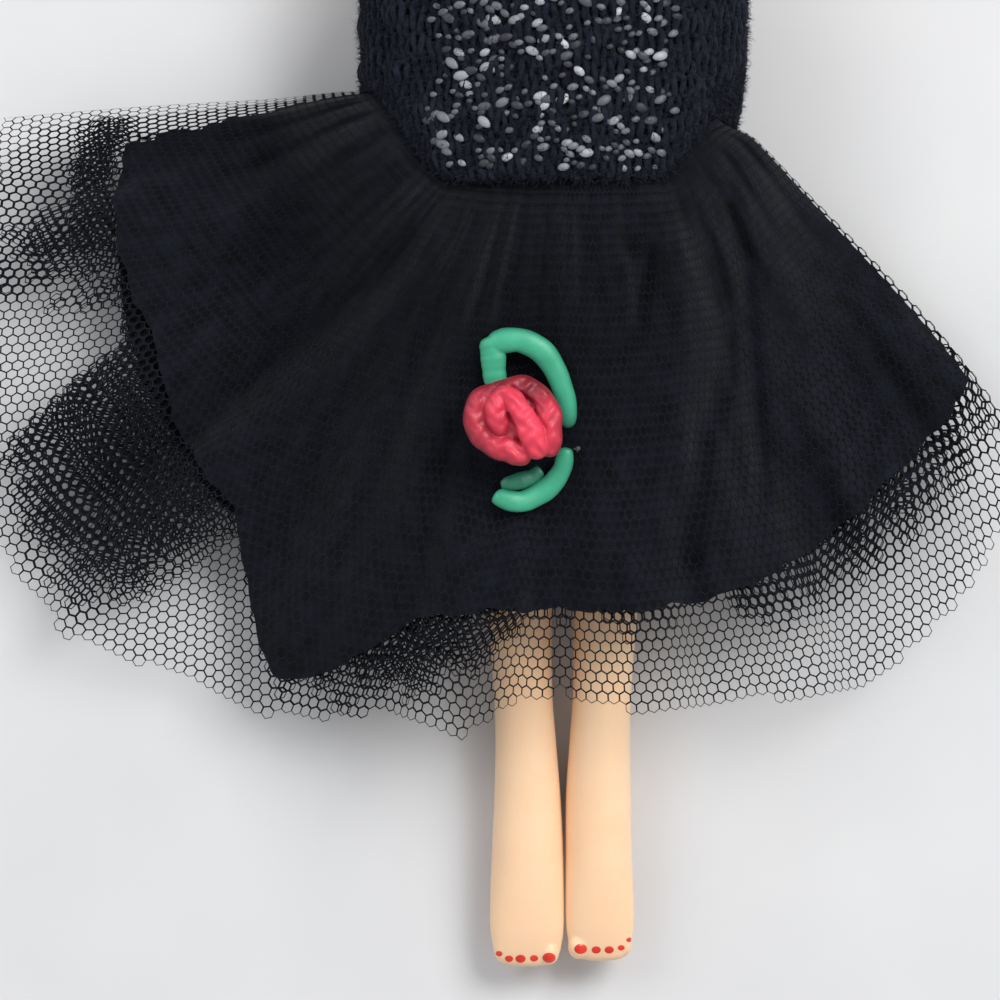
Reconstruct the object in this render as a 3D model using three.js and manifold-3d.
import * as THREE from "three";
import { mergeVertices } from "three/addons/utils/BufferGeometryUtils.js";
import Module from "manifold-3d";

// A small fashion doll that lies on its back in a knitted top and a layered net skirt.
// Millimetres. +Z is up and is the doll's front, +Y points to the head, +X is the doll's left.
// The origin is on the table under the middle of the waist. Heights along the body are counted
// from the toe tips, and at() turns such a height into a Y coordinate.

const hipHeight = 85;
const waistRise = 13; // from the hips
const shoulderRise = 31; // from the waist
const neckRise = 11; // from the shoulders to the collar of the neck
const headTall = 37;

// Moulded body
const shellWall = 1.5;
const splitGap = 0.3;
const hipsHalfWidth = 15.5;
const hipsFront = 8.6;
const hipsBack = 9.5;
const bustHalfWidth = 14.6;
const bustFront = 10;
const shoulderHalfWidth = 15.4;
const waistHalfWidth = 11.3;
const neckRadius = 4.4;
const cavityRise = 2.8; // of the hollow over the shoulders
const seatGap = 0.3;

// Hips
const crotchHalfWidth = 2.6;
const hipDrumRadius = 8;
const hipDrumOuter = 13.9;
const thighFront = 6.5;
const hipPinRadius = 1.3;
const hipPinHalfLength = 10;
const pinClearance = 0.15;
const legDroop = 8.9; // degrees, until the heels touch the table

// Shoulders
const shoulderPlane = 14.9;
const armStemRadius = 1.8;
const armFlangeRadius = 2.6;
const armFlangeWall = 1.1;
const armFlangeDepth = 3.2; // from the shoulder's face to the flange
const stemClearance = 0.25;
const shoulderCapRadius = 4.1;
const armDroop = 6; // degrees

// Neck and head
const neckStemRadius = 2.3;
const neckKnobRadius = 4;
const neckFlangeRadius = 3.4;
const neckFlangeWall = 1.6;
const neckSocket = 5.2; // from the head's collar up to its hollow
const headOffset = 1.2;
const headWall = 1.8;
const hairBack = 16.4;
const hairCrown = 2.6;
const noseOut = 12.6;
const mouthOut = 12.6;
const bunRadius = 7.6;
const bunHeight = 13;
const bunNeckRadius = 2.4;
const hairTieWire = 0.8;

// Knitted top
const knitGap = 0.35;
const knitHemWall = 1.5;
const knitHemDrop = 5.8; // under the waist
const knitBelowShoulder = 5.5;
const knitHalfWidth = 23.7;
const knitFront = 14.5;
const knitBack = 14.3;
const knitSlit = 0.5;
const knitInnerBack = 9;
const tapeWidth = 7;
const tapeRise = 1.5; // from the waist
const tapeLength = 11.5;
const tapeWall = 0.6;

// Waist elastic
const bandGap = 0.3;
const bandWall = 1;
const bandTall = 3;
const bandDrop = 5.1; // under the waist

// Skirt cloth: layers are stacked at one pitch, and the radii are counted from the waist's middle
const clothWall = 0.4;
const clothGap = 0.4;
const backLayers = 3;
const skirtDrop = 1.7; // under the waist
const skirtStartAngle = -5; // degrees, 0 points to the doll's right and 90 to the feet
const skirtEndAngle = 148;
const skirtMiddleAngle = 90;
const waistWrapStart = 166; // degrees round the waist, 180 is the doll's right and 90 the front
const waistWrapEnd = 14;
const foldAngle = 18;
const foldRidgeAngle = 44;
const foldDepth = 2.6;
const columnsPerFold = 4;
const skirtRows = [0, 0.09, 0.18, 0.34, 0.55, 0.78, 1]; // shares of the way to the outer hem
const halvesGap = 0.4;
const gatherShare = 0.28; // of the way to the outer hem, until the cloth has left the waist's curve
const crestAtHips = 24.3;
const crestSlope = 0.19;
const tentInner = 10;
const tentOuter = 38;
const sideBowRight = 8.4; // how far the skirt's sides are bunched up beside the knit
const sideBowLeft = 12.6;
const bowStart = 0.075; // shares of the way to the outer hem
const bowFull = 0.18;
const bowFade = 1.3; // the power by which a side comes down again to its hem

// Ribbon flower
const roseX = -5.9;
const roseBelowHip = 19.7;
const roseRadius = 5.7;
const roseTall = 3.8;
const roseTurns = 4;
const roseCore = 0.9;
const ribbonWall = 0.5;
const petalCount = 5;
const petalWave = 0.3;
const petalLean = 0.8;
const leafWidth = 3.4;
const leafWall = 0.5;

const wasm = await Module();
wasm.setup();

const waistHeight = hipHeight + waistRise;
const shoulderHeight = waistHeight + shoulderRise;
const neckHeight = shoulderHeight + neckRise;
const crownHeight = neckHeight + headTall;
const cavityCeiling = shoulderHeight + cavityRise;
const knitTopHeight = shoulderHeight - knitBelowShoulder;
const knitHemHeight = waistHeight - knitHemDrop;
const tapeBottomHeight = waistHeight + tapeRise;
const bandBottomHeight = waistHeight - bandDrop;
const skirtWaistHeight = waistHeight - skirtDrop;
const roseHeight = hipHeight - roseBelowHip;

const at = (height) => height - waistHeight;
const radians = THREE.MathUtils.degToRad;
const { lerp, smoothstep, clamp } = THREE.MathUtils;

const far = 60; // past every face of the doll, for cutting tools
const clothPitch = clothWall + clothGap;
const backStack = backLayers * clothPitch;
const bandInner = knitGap + knitHemWall + bandGap;
const bandOuter = bandInner + bandWall;
const bodyAxis = backStack + seatGap + hipsBack + bandOuter;

// Geometry helpers

function volumeOf(geometry) {
  const p = geometry.getAttribute("position");
  const index = geometry.index;
  const a = new THREE.Vector3();
  const b = new THREE.Vector3();
  const c = new THREE.Vector3();
  let sum = 0;
  for (let i = 0; i < index.count; i += 3) {
    a.fromBufferAttribute(p, index.getX(i));
    b.fromBufferAttribute(p, index.getX(i + 1));
    c.fromBufferAttribute(p, index.getX(i + 2));
    sum += a.dot(b.cross(c)) / 6;
  }
  return sum;
}

// One closed body from points and triangles, with its faces turned outwards.
function bodyFrom(points, triangles) {
  const geometry = new THREE.BufferGeometry();
  const flat = points.flatMap((p) => [p.x, p.y, p.z]);
  geometry.setAttribute("position", new THREE.Float32BufferAttribute(flat, 3));
  geometry.setIndex(triangles);
  if (volumeOf(geometry) < 0) {
    for (let i = 0; i < triangles.length; i += 3) {
      [triangles[i + 1], triangles[i + 2]] = [triangles[i + 2], triangles[i + 1]];
    }
    geometry.setIndex(triangles);
  }
  return geometry;
}

function band(triangles, first, second, sides) {
  for (let i = 0; i < sides; i += 1) {
    const next = (i + 1) % sides;
    triangles.push(first + i, first + next, second + next);
    triangles.push(first + i, second + next, second + i);
  }
}

// Rings of equal point counts joined in a row and closed by a cap at both ends.
function loft(rings) {
  const sides = rings[0].length;
  const points = rings.flat();
  const triangles = [];
  for (let k = 0; k + 1 < rings.length; k += 1) {
    band(triangles, k * sides, (k + 1) * sides, sides);
  }
  const last = (rings.length - 1) * sides;
  for (let i = 1; i + 1 < sides; i += 1) {
    triangles.push(0, i + 1, i);
    triangles.push(last, last + i, last + i + 1);
  }
  return bodyFrom(points, triangles);
}

// Rings joined in a closed circuit, as for a sleeve with an outer and an inner wall.
function sleeve(rings) {
  const sides = rings[0].length;
  const triangles = [];
  rings.forEach((_, k) => {
    band(triangles, k * sides, ((k + 1) % rings.length) * sides, sides);
  });
  return bodyFrom(rings.flat(), triangles);
}

// A cross-section of the body: half-width w, depth f in front of its middle and b behind it.
function section({ y, x = 0, z = 0, w, f, b }, sides) {
  return Array.from({ length: sides }, (_, i) => {
    const angle = (i / sides) * Math.PI * 2;
    const depth = Math.sin(angle) > 0 ? f : b;
    return new THREE.Vector3(x + w * Math.cos(angle), y, z + depth * Math.sin(angle));
  });
}

// Rows are [height, x, z, half-width, front, back]. The sections between them follow a curve, and
// lie closer together towards the two ends.
function sectionsAlong(rows, steps, sides, { base = waistHeight, grow = 0, from, to, side = 1 } = {}) {
  const heights = rows.map((row) => row[0]);
  const curve = new THREE.CubicInterpolant(
    new Float32Array(heights),
    new Float32Array(rows.flatMap((row) => row.slice(1))),
    5,
    new Float32Array(5),
  );
  const low = from ?? heights[0];
  const high = to ?? heights[heights.length - 1];
  return Array.from({ length: steps + 1 }, (_, k) => {
    const eased = (1 - Math.cos((Math.PI * k) / steps)) / 2;
    const height = lerp(low, high, lerp(k / steps, eased, 0.6));
    const [x, z, w, f, b] = curve.evaluate(height);
    return section(
      { y: height - base, x: x * side, z, w: w + grow, f: f + grow, b: b + grow },
      sides,
    );
  });
}

const limbLoft = (...args) => loft(sectionsAlong(...args));

function solid(geometry) {
  const bare = geometry.clone();
  bare.deleteAttribute("normal");
  bare.deleteAttribute("uv");
  const merged = mergeVertices(bare, 1e-4);
  return new wasm.Manifold(
    new wasm.Mesh({
      numProp: 3,
      vertProperties: new Float32Array(merged.getAttribute("position").array),
      triVerts: new Uint32Array(merged.index.array),
    }),
  );
}

function surface(body) {
  const mesh = body.getMesh();
  const geometry = new THREE.BufferGeometry();
  const flat = new Float32Array(mesh.numVert * 3);
  for (let i = 0; i < mesh.numVert; i += 1) {
    for (let k = 0; k < 3; k += 1) flat[i * 3 + k] = mesh.vertProperties[i * mesh.numProp + k];
  }
  geometry.setAttribute("position", new THREE.BufferAttribute(flat, 3));
  geometry.setIndex(new THREE.BufferAttribute(new Uint32Array(mesh.triVerts), 1));
  return geometry;
}

function box(x0, x1, y0, y1, z0, z1) {
  const geometry = new THREE.BoxGeometry(x1 - x0, y1 - y0, z1 - z0);
  return geometry.translate((x0 + x1) / 2, (y0 + y1) / 2, (z0 + z1) / 2);
}

// A round bar along X.
function crossBar(radius, x0, x1, y = 0, z = 0, sides = 16) {
  const geometry = new THREE.CylinderGeometry(radius, radius, Math.abs(x1 - x0), sides);
  return geometry.rotateZ(Math.PI / 2).translate((x0 + x1) / 2, y, z);
}

function ellipsoid(x, y, z, rx, ry, rz, around = 8, along = 6) {
  const geometry = new THREE.SphereGeometry(1, around, along);
  return geometry.scale(rx, ry, rz).translate(x, y, z);
}

// Materials

const material = (color, roughness, metalness = 0) =>
  new THREE.MeshStandardMaterial({ color, roughness, metalness, side: THREE.DoubleSide });
const skin = material(0xf6d2a8, 0.42);
const hairBlack = material(0x15110f, 0.5);
const pinSteel = material(0xb9bcc0, 0.3, 0.9);
const peg = material(0xe9e1d2, 0.45);
const knit = material(0x14181f, 0.95);
const tapeBlack = material(0x1a1c20, 0.9);
const elastic = material(0x16181c, 0.85);
const net = material(0x161b24, 0.8);
const lining = material(0x121722, 0.75);
const redSatin = material(0xd42a3c, 0.35);
const greenSatin = material(0x2fa67a, 0.35);

const doll = new THREE.Group();
const body = new THREE.Group();
body.position.z = bodyAxis;
doll.add(body);

function add(parent, name, geometry, look) {
  const mesh = new THREE.Mesh(geometry, look);
  mesh.name = name;
  parent.add(mesh);
  return mesh;
}

// Torso: two hollow halves that meet at the sides

const trunk = (share) => lerp(hipHeight, shoulderHeight, share);
const collar = (share) => lerp(shoulderHeight, neckHeight, share);
const torsoRows = [
  [hipHeight - 4, 0, 0, 5, 4.6, 4.6],
  [hipHeight, 0, 0, hipsHalfWidth - 2, hipsFront - 0.8, hipsBack - 0.6],
  [trunk(0.114), 0, 0, hipsHalfWidth, hipsFront, hipsBack],
  [trunk(0.25), 0, 0, (hipsHalfWidth + waistHalfWidth) / 2, hipsFront - 0.6, hipsBack - 1.2],
  [trunk(0.41), 0, 0, waistHalfWidth, 7.2, 6.8],
  [trunk(0.568), 0, 0, waistHalfWidth + 1.3, 8.2, 7.2],
  [trunk(0.773), 0, 0, bustHalfWidth, bustFront, 7.8],
  [trunk(0.909), 0, 0, bustHalfWidth + 0.3, bustFront - 1.8, 7.6],
  [collar(0.045), 0, 0, shoulderHalfWidth, 6.9, 6.8],
  [collar(0.32), 0, 0, shoulderHalfWidth - 0.6, 6.2, 6.2],
  [collar(0.51), 0, 0, 11, 5.6, 5.6],
  [collar(0.67), 0, 0, 6, 4.9, 4.9],
  [collar(0.82), 0, 0, neckRadius + 0.1, neckRadius + 0.1, neckRadius + 0.1],
  [neckHeight, 0, 0, neckRadius, neckRadius, neckRadius],
];
const cavityFloor = hipHeight + hipDrumRadius + seatGap + shellWall;

function torsoSolid() {
  const outer = solid(limbLoft(torsoRows, 19, 20));
  const inner = solid(
    limbLoft(torsoRows, 8, 14, { grow: -shellWall, from: cavityFloor, to: cavityCeiling }),
  );
  const neckBore = new THREE.CylinderGeometry(
    neckStemRadius + stemClearance,
    neckStemRadius + stemClearance,
    neckHeight - cavityCeiling + 4,
    16,
  ).translate(0, at((neckHeight + cavityCeiling) / 2), 0);
  const pinBore = crossBar(hipPinRadius + pinClearance, -far, far, at(hipHeight));
  let torso = outer.subtract(inner).subtract(solid(neckBore)).subtract(solid(pinBore));
  for (const side of [-1, 1]) {
    const reach = (inside) => [side * inside, side * far].sort((a, b) => a - b);
    const [x0, x1] = reach(crotchHalfWidth);
    const hipDrum = crossBar(hipDrumRadius + seatGap, x0, x1, at(hipHeight), 0, 32);
    const thighWay = box(x0, x1, at(0), at(hipHeight + thighFront + 2 * seatGap), 0, far);
    const legWay = box(x0, x1, at(0), at(hipHeight), -far, far);
    const [s0, s1] = reach(shoulderPlane);
    const shoulderFace = crossBar(shoulderCapRadius + 0.5, s0, s1, at(shoulderHeight));
    const [h0, h1] = reach(10);
    const stemBore = crossBar(armStemRadius + stemClearance, h0, h1, at(shoulderHeight));
    const pocketEnd = side * (shoulderPlane - armFlangeDepth + seatGap);
    const pocket = crossBar(armFlangeRadius + seatGap, side * 5, pocketEnd, at(shoulderHeight));
    for (const cut of [hipDrum, thighWay, legWay, shoulderFace, stemBore, pocket]) {
      torso = torso.subtract(solid(cut));
    }
  }
  return torso;
}

const torso = torsoSolid();
const frontHalf = solid(box(-far, far, -far, far, splitGap / 2, far));
const backHalf = solid(box(-far, far, -far, far, -far, -splitGap / 2));
add(body, "torso_front", surface(torso.intersect(frontHalf)), skin);
add(body, "torso_back", surface(torso.intersect(backHalf)), skin);

// The pin through both hips, and the peg that carries the head

add(body, "hip_pin", crossBar(hipPinRadius, -hipPinHalfLength, hipPinHalfLength, at(hipHeight)), pinSteel);

function neckPeg() {
  const flangeTop = cavityCeiling - seatGap;
  const knobStart = neckHeight + neckSocket + seatGap;
  const profile = [
    [0, flangeTop - neckFlangeWall],
    [neckFlangeRadius, flangeTop - neckFlangeWall],
    [neckFlangeRadius, flangeTop],
    [neckStemRadius, flangeTop],
    [neckStemRadius, knobStart],
    [neckKnobRadius, knobStart + 1.4],
    [neckKnobRadius, knobStart + 2.4],
    [neckStemRadius, knobStart + 4],
    [0, knobStart + 4.6],
  ].map(([r, h]) => new THREE.Vector2(r, at(h)));
  return new THREE.LatheGeometry(profile, 16);
}
add(body, "neck_peg", neckPeg(), peg);

// Head, hair and knot, about the head's own middle line

const head = new THREE.Group();
head.position.z = headOffset;
body.add(head);

const skull = (share) => lerp(neckHeight, crownHeight, share);
const headRows = [
  [neckHeight + seatGap, 0, -headOffset, neckRadius, neckRadius, neckRadius],
  [skull(0.07), 0, -0.4, 6.4, 8.8, 5.8],
  [skull(0.135), 0, 0, 9.2, 12.2, 8.4],
  [skull(0.243), 0, 0, 12.2, 13, 11.6],
  [skull(0.405), 0, 0, 13.6, 13, 13.6],
  [skull(0.568), 0, 0, 14, 12.8, 14.2],
  [skull(0.73), 0, 0, 13.4, 12.4, 14.2],
  [skull(0.865), 0, 0, 11.2, 10.4, 12],
  [skull(0.957), 0, 0, 7.2, 6.8, 8],
  [crownHeight, 0, 0, 2.4, 2.2, 2.6],
];

function headSolid() {
  const outer = solid(limbLoft(headRows, 14, 20));
  const hollow = solid(
    limbLoft(headRows, 6, 12, { grow: -headWall, from: neckHeight + neckSocket, to: crownHeight - 3 }),
  );
  const bore = new THREE.CylinderGeometry(
    neckStemRadius + stemClearance,
    neckStemRadius + stemClearance,
    12,
    16,
  ).translate(0, at(neckHeight + 2), -headOffset);
  const nose = ellipsoid(0, at(skull(0.38)), noseOut, 1.4, 3, 1.9);
  const upperLip = ellipsoid(0, at(skull(0.26)), mouthOut, 2.6, 0.8, 0.9);
  const lowerLip = ellipsoid(0, at(skull(0.222)), mouthOut - 0.3, 2, 0.8, 0.9);
  return [nose, upperLip, lowerLip]
    .reduce((whole, bump) => whole.add(solid(bump)), outer)
    .subtract(hollow)
    .subtract(solid(bore));
}
add(head, "head", surface(headSolid()), skin);

const hairRows = [
  [skull(0.19), 0, 0, 11.6, 1.5, hairBack - 3.6],
  [skull(0.27), 0, 0, 14.6, 5, hairBack - 1.8],
  [skull(0.432), 0, 0, hairBack - 0.4, 9, hairBack - 0.4],
  [skull(0.595), 0, 0, hairBack, 12.6, hairBack],
  [skull(0.757), 0, 0, hairBack - 0.8, 14.4, hairBack],
  [skull(0.892), 0, 0, 13.6, 12.8, hairBack - 2],
  [crownHeight, 0, 0, 9.2, 8.6, 10],
  [crownHeight + hairCrown, 0, 0, 3, 3, 3.2],
];

function hairCap() {
  const outer = solid(limbLoft(hairRows, 10, 20));
  const scalp = solid(limbLoft(headRows, 14, 20, { grow: seatGap + 0.1 }));
  return surface(outer.subtract(scalp));
}
add(head, "hair_cap", hairCap(), hairBlack);

const bunStart = crownHeight + hairCrown + seatGap;
const bunNeckLength = 2 * hairTieWire + 2 * seatGap;

function bunRing(height, radius, twist) {
  return Array.from({ length: 20 }, (_, i) => {
    const angle = (i / 20) * Math.PI * 2;
    const r = radius * (1 + (twist ? 0.05 * Math.cos(4 * angle + 5 * twist) : 0));
    return new THREE.Vector3(r * Math.cos(angle), at(bunStart + height), r * Math.sin(angle));
  });
}

function hairBun() {
  const steps = 7;
  const knot = Array.from({ length: steps }, (_, k) => {
    const t = (k + 1) / steps;
    const swell = Math.sin(Math.PI * t * 0.9) ** 0.7;
    const radius = bunNeckRadius + (bunRadius - bunNeckRadius) * swell;
    return bunRing(bunNeckLength + (bunHeight - bunNeckLength) * t, radius, t);
  });
  return loft([bunRing(0, bunNeckRadius), bunRing(bunNeckLength, bunNeckRadius), ...knot]);
}
add(head, "hair_bun", hairBun(), hairBlack);

const tieRadius = bunNeckRadius + hairTieWire + seatGap;
const tie = new THREE.TorusGeometry(tieRadius, hairTieWire, 5, 14)
  .rotateX(Math.PI / 2)
  .translate(0, at(bunStart + seatGap + hairTieWire), 0);

// Arms: raised over the head, each with its stem and flange inside the shoulder

const armInner = shoulderPlane + seatGap;
const armMiddle = armInner + 4;
const armRows = [
  [-shoulderCapRadius - 0.2, armMiddle, 0, 1.2, 1.2, 1.2],
  [-3.4, armMiddle, 0, 2.9, 2.8, 2.8],
  [-1.5, armMiddle, 0, 3.7, shoulderCapRadius - 0.2, shoulderCapRadius - 0.2],
  [1.5, armMiddle + 0.1, 0, 3.8, shoulderCapRadius, shoulderCapRadius],
  [6, armMiddle + 0.6, 0, 3.5, 3.8, 3.8],
  [14, armMiddle + 1.6, 0, 3.1, 3.3, 3.3],
  [26, armMiddle + 3.4, 0, 2.8, 2.9, 2.9],
  [31, armMiddle + 3.9, 0, 2.9, 3, 3],
  [39, armMiddle + 4.4, 0, 2.6, 2.6, 2.6],
  [48, armMiddle + 4.8, 0, 1.8, 1.8, 1.8],
  [52, armMiddle + 4.9, 0, 2.4, 1.5, 1.5],
  [56, armMiddle + 4.8, 0, 2.6, 1.3, 1.3],
  [58, armMiddle + 4.7, 0, 2.3, 1, 1],
];
const fingerLengths = [5, 6, 5.6, 4.4];
const fingerRadius = 0.62;

function arm(side) {
  const limb = solid(limbLoft(armRows, 15, 10, { base: 0, side }));
  const flangeOuter = shoulderPlane - armFlangeDepth;
  const flangeInner = flangeOuter - armFlangeWall;
  const stem = crossBar(armStemRadius, side * flangeInner, side * (armMiddle - 1));
  const flange = crossBar(armFlangeRadius, side * flangeInner, side * flangeOuter);
  const palm = armRows[armRows.length - 1];
  const fingers = fingerLengths.map((length, i) => {
    const across = (i - 1.5) * 1.16;
    return ellipsoid(side * (palm[1] - across), palm[0], 0, fingerRadius, length, fingerRadius, 5, 5);
  });
  const thumb = ellipsoid(0, 0, 0, 0.7, 3, 0.7, 5, 5)
    .rotateZ(side * radians(32))
    .translate(side * (palm[1] - 2.6), palm[0] - 2.6, 0.2);
  return surface([stem, flange, ...fingers, thumb].reduce((whole, piece) => whole.add(solid(piece)), limb));
}

for (const [name, side] of [["arm_right", -1], ["arm_left", 1]]) {
  const shoulder = new THREE.Group();
  shoulder.position.y = at(shoulderHeight);
  shoulder.rotation.x = -radians(armDroop);
  body.add(shoulder);
  add(shoulder, name, arm(side), skin);
}

// Legs: straight, with pointed feet and five toes each, turning on the hip pin

const drumInner = crotchHalfWidth + seatGap;
const legRows = [
  [0.2, 4.6, 2.5, 2.5, 0.6, 0.6],
  [0.9, 4.5, 2.5, 3.4, 1, 1],
  [2.8, 4.4, 2.4, 3.9, 1.5, 1.3],
  [5.8, 4.45, 2, 4.2, 2.3, 1.9],
  [13.3, 4.3, 0.8, 4, 3.7, 3.2],
  [20.4, 4.3, 0, 3.9, 3.9, 5.3],
  [27.4, 4.5, 0, 3.65, 3.5, 3.8],
  [33.5, 4.8, 0, 3.55, 3.4, 4],
  [44.6, 5.2, 0, 3.95, 3.7, 5],
  [56.7, 5.3, 0, 4.1, 4.5, 4.2],
  [66, 6, 0, 4.9, 5.1, 5.2],
  [75, 7.4, 0, 5.2, 6, 6.4],
  [79.5, drumInner + 5.4, 0, 5.3, thighFront, 6.9],
  [hipHeight + 1, drumInner + 5.3, 0, 5, 5.6, 5.6],
];
// x, toe-tip height and radius, from the big toe outwards
const toes = [
  [1.75, -0.8, 1.3],
  [3.6, -0.7, 0.86],
  [5.1, -0.6, 0.8],
  [6.5, -0.3, 0.74],
  [7.7, 0.2, 0.68],
];
const toeLength = 2.4;
const toeLift = 2.5;

function leg(side) {
  const local = { base: hipHeight, side };
  const limb = solid(limbLoft(legRows, 19, 14, local));
  const drumProfile = [
    [0, drumInner],
    [hipDrumRadius - 0.6, drumInner],
    [hipDrumRadius, drumInner + 0.6],
    [hipDrumRadius, hipDrumOuter - 4.6],
    [hipDrumRadius - 0.9, hipDrumOuter - 2],
    [hipDrumRadius - 3, hipDrumOuter - 0.5],
    [0, hipDrumOuter],
  ].map(([r, x]) => new THREE.Vector2(r, x));
  const drum = new THREE.LatheGeometry(drumProfile, 20).rotateZ(-side * Math.PI / 2);
  const bore = crossBar(hipPinRadius + pinClearance, 0, side * (hipPinHalfLength + seatGap));
  const toeBodies = toes.map(([x, tip, radius]) =>
    ellipsoid(side * x, tip + toeLength - hipHeight, toeLift, radius, toeLength, radius * 1.1, 7, 6),
  );
  return surface(
    [drum, ...toeBodies].reduce((whole, piece) => whole.add(solid(piece)), limb).subtract(solid(bore)),
  );
}

for (const [name, side] of [["leg_right", -1], ["leg_left", 1]]) {
  const hip = new THREE.Group();
  hip.position.y = at(hipHeight);
  hip.rotation.x = radians(legDroop);
  body.add(hip);
  add(hip, name, leg(side), skin);
}

// Knitted top: a thick sleeve with a narrow hem and an opening down the back

const tubeHalfWidth = hipsHalfWidth - 0.3;

function bodice() {
  const sides = 24;
  const hemWidth = hipsHalfWidth + knitGap + knitHemWall;
  const hemFront = hipsFront + knitGap + knitHemWall;
  const hemBack = hipsBack + knitGap + knitHemWall;
  const roll = skirtWaistHeight + 2 * seatGap;
  const outer = [
    [knitHemHeight, hemWidth, hemFront, hemBack],
    [roll, hemWidth, hemFront, hemBack],
    [roll + 0.1, hemWidth + 2, hemFront + 1.6, hemBack + 1.6],
    [roll + 1.4, knitHalfWidth - 3.9, knitFront - 1.4, knitBack - 1],
    [roll + 4, knitHalfWidth - 2.6, knitFront - 0.4, knitBack - 0.2],
    [roll + 8, knitHalfWidth - 0.9, knitFront, knitBack],
    [knitTopHeight - 7, knitHalfWidth, knitFront, knitBack],
    [knitTopHeight - 3, knitHalfWidth - 1, knitFront - 0.6, knitBack - 0.4],
    [knitTopHeight - 0.9, knitHalfWidth - 3.2, knitFront - 1.8, knitBack - 2],
    [knitTopHeight, knitHalfWidth - 5.4, knitFront - 3.2, knitBack - 4],
  ];
  const inner = [
    [knitTopHeight, bustHalfWidth + 0.6, bustFront + knitGap, 8.2],
    [trunk(0.773), bustHalfWidth + knitGap + 0.2, bustFront + knitGap + 0.1, 8.3],
    [tapeBottomHeight + tapeLength + 1, tubeHalfWidth, bustFront, knitInnerBack],
    [tapeBottomHeight - 1, tubeHalfWidth, hipsFront + knitGap + 0.6, knitInnerBack],
    [knitHemHeight, hipsHalfWidth + knitGap, hipsFront + knitGap, hipsBack + knitGap],
  ];
  const rings = [...outer, ...inner].map(([h, w, f, b]) => section({ y: at(h), w, f, b }, sides));
  const slit = box(-knitSlit / 2, knitSlit / 2, -far, far, -far, 0);
  return surface(solid(sleeve(rings)).subtract(solid(slit)));
}
add(body, "bodice_knit", bodice(), knit);

function closureTape() {
  const edge = tapeWidth / 2;
  const under = seatGap - knitInnerBack * Math.sqrt(1 - (edge / tubeHalfWidth) ** 2);
  const low = at(tapeBottomHeight);
  return box(-edge, edge, low, low + tapeLength, under, under + tapeWall);
}
add(body, "closure_tape", closureTape(), tapeBlack);

function waistElastic() {
  const ring = (height, grow) =>
    section(
      { y: at(height), w: hipsHalfWidth + grow, f: hipsFront + grow, b: hipsBack + grow },
      24,
    );
  const top = bandBottomHeight + bandTall;
  return sleeve([
    ring(bandBottomHeight, bandOuter),
    ring(top, bandOuter),
    ring(top, bandInner),
    ring(bandBottomHeight, bandInner),
  ]);
}
add(body, "waist_elastic", waistElastic(), elastic);
add(head, "hair_tie", tie, elastic);

// Skirt

const waistMiddle = new THREE.Vector2(0, at(skirtWaistHeight));
const gatherWidth = hipsHalfWidth + bandOuter + seatGap;
const gatherDepth = hipsFront + bandOuter + 3 * seatGap;

// Each layer's hem as [direction in degrees, reach from the waist's middle].
const outerHem = [
  [-5, 67], [3, 75], [20, 80], [35, 82], [44, 82], [54, 76], [62, 75], [72, 69], [80, 69.5],
  [85, 64.5], [90, 63], [98, 66], [110, 68], [120, 73], [132, 71], [148, 67],
];
const middleHem = [
  [-5, 64], [10, 73], [15, 70], [17.5, 55], [22, 57], [27, 76], [36, 80], [44, 80], [49, 58],
  [56, 66], [62, 73], [73, 66], [80, 63], [86, 55], [95, 55], [99, 59], [108, 55], [115, 62],
  [138, 63], [148, 61],
];
const innerHem = [
  [-5, 58], [10, 66], [17.5, 50], [27, 60], [35, 70], [44, 68], [50, 55], [60, 66], [70, 60],
  [80, 58], [90, 52], [104, 52], [115, 59], [130, 58], [148, 58],
];
const liningHem = [
  [-5, 36], [5, 40], [15, 45], [23, 50], [35, 56], [47, 57], [56, 66], [61, 71], [66, 66],
  [72, 57], [80, 54], [90, 53], [99, 54], [115, 56], [130, 59], [148, 59],
];
const backHem = [
  [-5, 52], [20, 56], [44, 58], [62, 56], [90, 52], [110, 52], [130, 54], [148, 50],
];

function hemCurve(hem) {
  return new THREE.LinearInterpolant(
    new Float32Array(hem.map((station) => station[0])),
    new Float32Array(hem.map((station) => station[1])),
    1,
    new Float32Array(1),
  );
}
const outerReach = hemCurve(outerHem);
const backReach = hemCurve(backHem);

const outward = (angle) => new THREE.Vector2(-Math.cos(radians(angle)), -Math.sin(radians(angle)));

function foldAt(angle, reach) {
  const ridge = (1 + Math.cos(((angle - foldRidgeAngle) / foldAngle) * Math.PI * 2)) / 2;
  return foldDepth * ridge * smoothstep(reach, 24, 62);
}

// The height of the innermost front layer's underside over the table, at a place in plan.
function drape(x, y) {
  const reach = Math.hypot(x - waistMiddle.x, y - waistMiddle.y);
  const angle = THREE.MathUtils.radToDeg(Math.atan2(waistMiddle.y - y, -(x - waistMiddle.x)));
  const low = seatGap + backStack * (1 - smoothstep(reach, 62, 74));
  const crest = crestAtHips - crestSlope * clamp(at(hipHeight) - y, -12, 60);
  const tent = 1 - smoothstep(Math.abs(x), tentInner, tentOuter);
  return low + (crest - low) * tent + foldAt(angle, reach);
}

function sideBow(angle, v) {
  const right = clamp((skirtStartAngle + 15 - angle) / 15, 0, 1);
  const left = clamp((angle - skirtEndAngle + 25) / 25, 0, 1);
  const most = sideBowRight * right * right + sideBowLeft * left * left;
  return most * smoothstep(v, bowStart, bowFull) * (1 - v ** bowFade);
}

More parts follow.
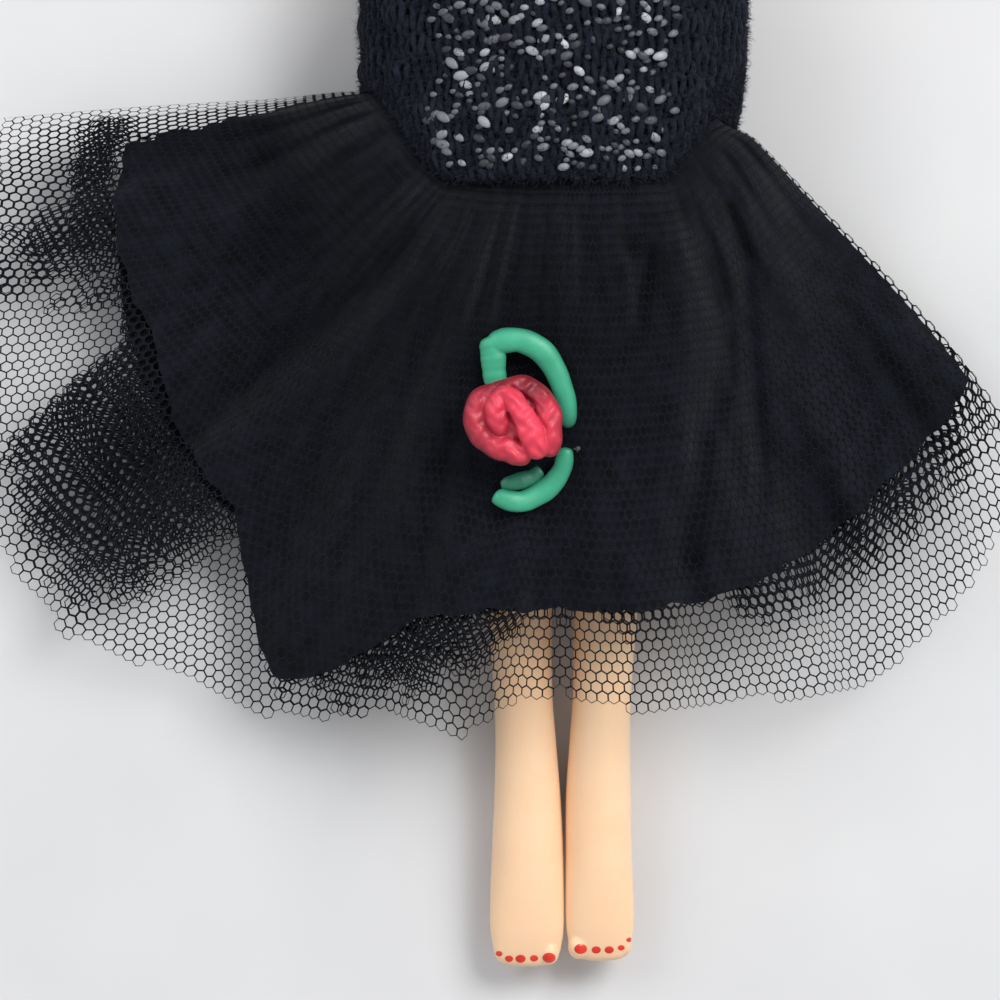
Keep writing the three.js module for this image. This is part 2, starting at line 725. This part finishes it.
// A point at share v of the way from the waist to the outer hem, lifted over the innermost layer.
function skirtPoint(angle, v, lift) {
  const before = (angle - skirtStartAngle) / (skirtMiddleAngle - skirtStartAngle);
  const after = (angle - skirtMiddleAngle) / (skirtEndAngle - skirtMiddleAngle);
  const wrap = radians(
    before < 1 ? lerp(waistWrapStart, 90, before) : lerp(90, waistWrapEnd, after),
  );
  const start = new THREE.Vector3(
    gatherWidth * Math.cos(wrap),
    waistMiddle.y,
    bodyAxis + gatherDepth * Math.sin(wrap),
  );
  const end = outward(angle).multiplyScalar(outerReach.evaluate(angle)[0]).add(waistMiddle);
  const x = lerp(start.x, end.x, v);
  const y = lerp(start.y, end.y, v) + sideBow(angle, v);
  return new THREE.Vector3(x, y, lerp(start.z, drape(x, y), smoothstep(v, 0, gatherShare)) + lift);
}

// Everything inside a hem, seen in plan, to cut a layer off at its own length.
function insideHem(hem) {
  const first = hem[0];
  const last = hem[hem.length - 1];
  const around = [[first[0] - 40, first[1]], ...hem, [last[0] + 40, last[1]]];
  const outline = around.map(([angle, reach]) => outward(angle).multiplyScalar(reach).add(waistMiddle));
  return new THREE.ExtrudeGeometry(new THREE.Shape(outline), { depth: far, bevelEnabled: false });
}

// A closed sheet of cloth from a grid of places, its upper side a cloth's thickness over its lower.
function clothSheet(columns, rows, place) {
  const points = [];
  const triangles = [];
  const stride = rows + 1;
  const half = (columns + 1) * stride;
  for (const lift of [0, clothWall]) {
    for (let i = 0; i <= columns; i += 1) {
      for (let j = 0; j <= rows; j += 1) points.push(place(i / columns, j / rows, lift));
    }
  }
  const quad = (a, b, c, d) => triangles.push(a, b, c, a, c, d);
  for (let i = 0; i < columns; i += 1) {
    for (let j = 0; j < rows; j += 1) {
      const a = i * stride + j;
      quad(a, a + 1, a + stride + 1, a + stride);
      quad(half + a, half + a + stride, half + a + stride + 1, half + a + 1);
    }
    const a = i * stride;
    quad(a, a + stride, half + a + stride, half + a);
    quad(a + rows, half + a + rows, half + a + rows + stride, a + rows + stride);
  }
  for (let j = 0; j < rows; j += 1) {
    quad(j, half + j, half + j + 1, j + 1);
    const b = columns * stride + j;
    quad(b, b + 1, half + b + 1, half + b);
  }
  return bodyFrom(points, triangles);
}

function frontPanel(side, layer, hem) {
  const [from, to] = side < 0 ? [skirtStartAngle, skirtMiddleAngle] : [skirtMiddleAngle, skirtEndAngle];
  const columns = Math.round(((to - from) / foldAngle) * columnsPerFold);
  const aside = new THREE.Vector3((side * halvesGap) / 2, 0, 0);
  const rows = skirtRows.length - 1;
  const sheet = clothSheet(columns, rows, (u, v, lift) =>
    skirtPoint(lerp(from, to, u), skirtRows[Math.round(v * rows)], layer * clothPitch + lift).add(aside),
  );
  return hem === outerHem ? sheet : surface(solid(sheet).intersect(solid(insideHem(hem))));
}

// The layers that she lies on spread from under the hips, and only the lowest is pressed flat.
function backPanel(layer) {
  const columns = Math.round(((skirtEndAngle - skirtStartAngle) / foldAngle) * 2);
  return clothSheet(columns, 3, (u, v, lift) => {
    const angle = lerp(skirtStartAngle, skirtEndAngle, u);
    const near = outward(lerp(0, 180, u)).multiplyScalar(hipsHalfWidth + bandOuter);
    near.y = 0;
    const tip = outward(angle).multiplyScalar(backReach.evaluate(angle)[0]);
    const place = near.lerp(tip, v).add(waistMiddle);
    const reach = place.distanceTo(waistMiddle);
    const fold = layer ? 0.6 * foldAt(angle, reach) : 0;
    return new THREE.Vector3(place.x, place.y, layer * clothPitch + fold + lift);
  });
}

const frontLayers = [
  ["net_inner_front", innerHem, net],
  ["net_middle_front", middleHem, net],
  ["lining_front", liningHem, lining],
  ["net_outer_front", outerHem, net],
];
frontLayers.forEach(([name, hem, look], layer) => {
  add(doll, name + "_right", frontPanel(-1, layer, hem), look);
  add(doll, name + "_left", frontPanel(1, layer, hem), look);
});
add(doll, "net_outer_back", backPanel(0), net);
add(doll, "lining_back", backPanel(1), lining);
add(doll, "net_inner_back", backPanel(2), net);

// Ribbon flower: a wound rosette on two leaf loops, seated on the outermost layer

const skirtTop = (frontLayers.length - 1) * clothPitch + clothWall + 2 * seatGap;

function ribbonAlong(places) {
  const curve = new THREE.CatmullRomCurve3(
    places.map(([x, y]) => new THREE.Vector3(roseX + x, at(roseHeight) + y, 0)),
  );
  const steps = 4 * (places.length - 1);
  return clothSheet(steps, 3, (u, v, lift) => {
    const middle = curve.getPoint(u);
    const along = curve.getTangent(u);
    const across = new THREE.Vector3(-along.y, along.x, 0).multiplyScalar((v - 0.5) * leafWidth);
    const place = middle.add(across);
    const crown = 0.5 * Math.sin(Math.PI * v);
    const z = drape(place.x, place.y) + skirtTop + crown + (lift ? leafWall : 0);
    return new THREE.Vector3(place.x, place.y, z);
  });
}

// Places along each leaf's middle line, across and up from the rosette's centre.
const leafUpperPath = [
  [-2, 3.7], [-3.1, 7.7], [-0.5, 10.3], [3.3, 9.1], [5.7, 5.3], [6.3, 1.3], [6.2, -1.7],
];
const leafLowerPath = [
  [6.3, -4.7], [5.1, -7.9], [1.9, -9.6], [-1.7, -9.1],
];
add(doll, "leaf_ribbon_upper", ribbonAlong(leafUpperPath), greenSatin);
add(doll, "leaf_ribbon_lower", ribbonAlong(leafLowerPath), greenSatin);

function roseSeat() {
  let top = 0;
  for (let angle = 0; angle < 360; angle += 30) {
    for (const reach of [0, roseRadius / 2, roseRadius]) {
      const x = roseX + reach * Math.cos(radians(angle));
      const y = at(roseHeight) + reach * Math.sin(radians(angle));
      top = Math.max(top, drape(x, y));
    }
  }
  return top + skirtTop + leafWall + 0.5 + seatGap;
}

const rosePitch = (roseRadius - roseCore - ribbonWall) / roseTurns;

function roseReach(turn) {
  const wave = (petalWave / roseTurns) * Math.cos(petalCount * turn * 2 * Math.PI);
  return roseCore + rosePitch * turn * (1 + wave);
}

function roseRibbon() {
  const steps = roseTurns * 20;
  const rings = Array.from({ length: steps + 1 }, (_, k) => {
    const turn = (k / steps) * roseTurns;
    const angle = turn * 2 * Math.PI;
    const reach = roseReach(turn);
    const tall = roseTall * (1 - 0.35 * (turn / roseTurns) ** 2);
    const corner = (out, up) => {
      const r = reach + out + (petalLean * up) / roseTall;
      return new THREE.Vector3(r * Math.cos(angle), r * Math.sin(angle), up);
    };
    return [corner(0, 0), corner(ribbonWall, 0), corner(ribbonWall, tall), corner(0, tall)];
  });
  return loft(rings);
}

// The least gap between one turn of the rosette and the next.
function roseGap() {
  let least = Infinity;
  for (let turn = 0; turn <= roseTurns - 1; turn += 0.02) {
    least = Math.min(least, roseReach(turn + 1) - roseReach(turn) - ribbonWall);
  }
  return least;
}
console.log("rosette: least gap between turns " + roseGap().toFixed(2) + " mm");

const rose = add(doll, "rose_ribbon", roseRibbon(), redSatin);
rose.position.set(roseX, at(roseHeight), roseSeat());

export default doll;
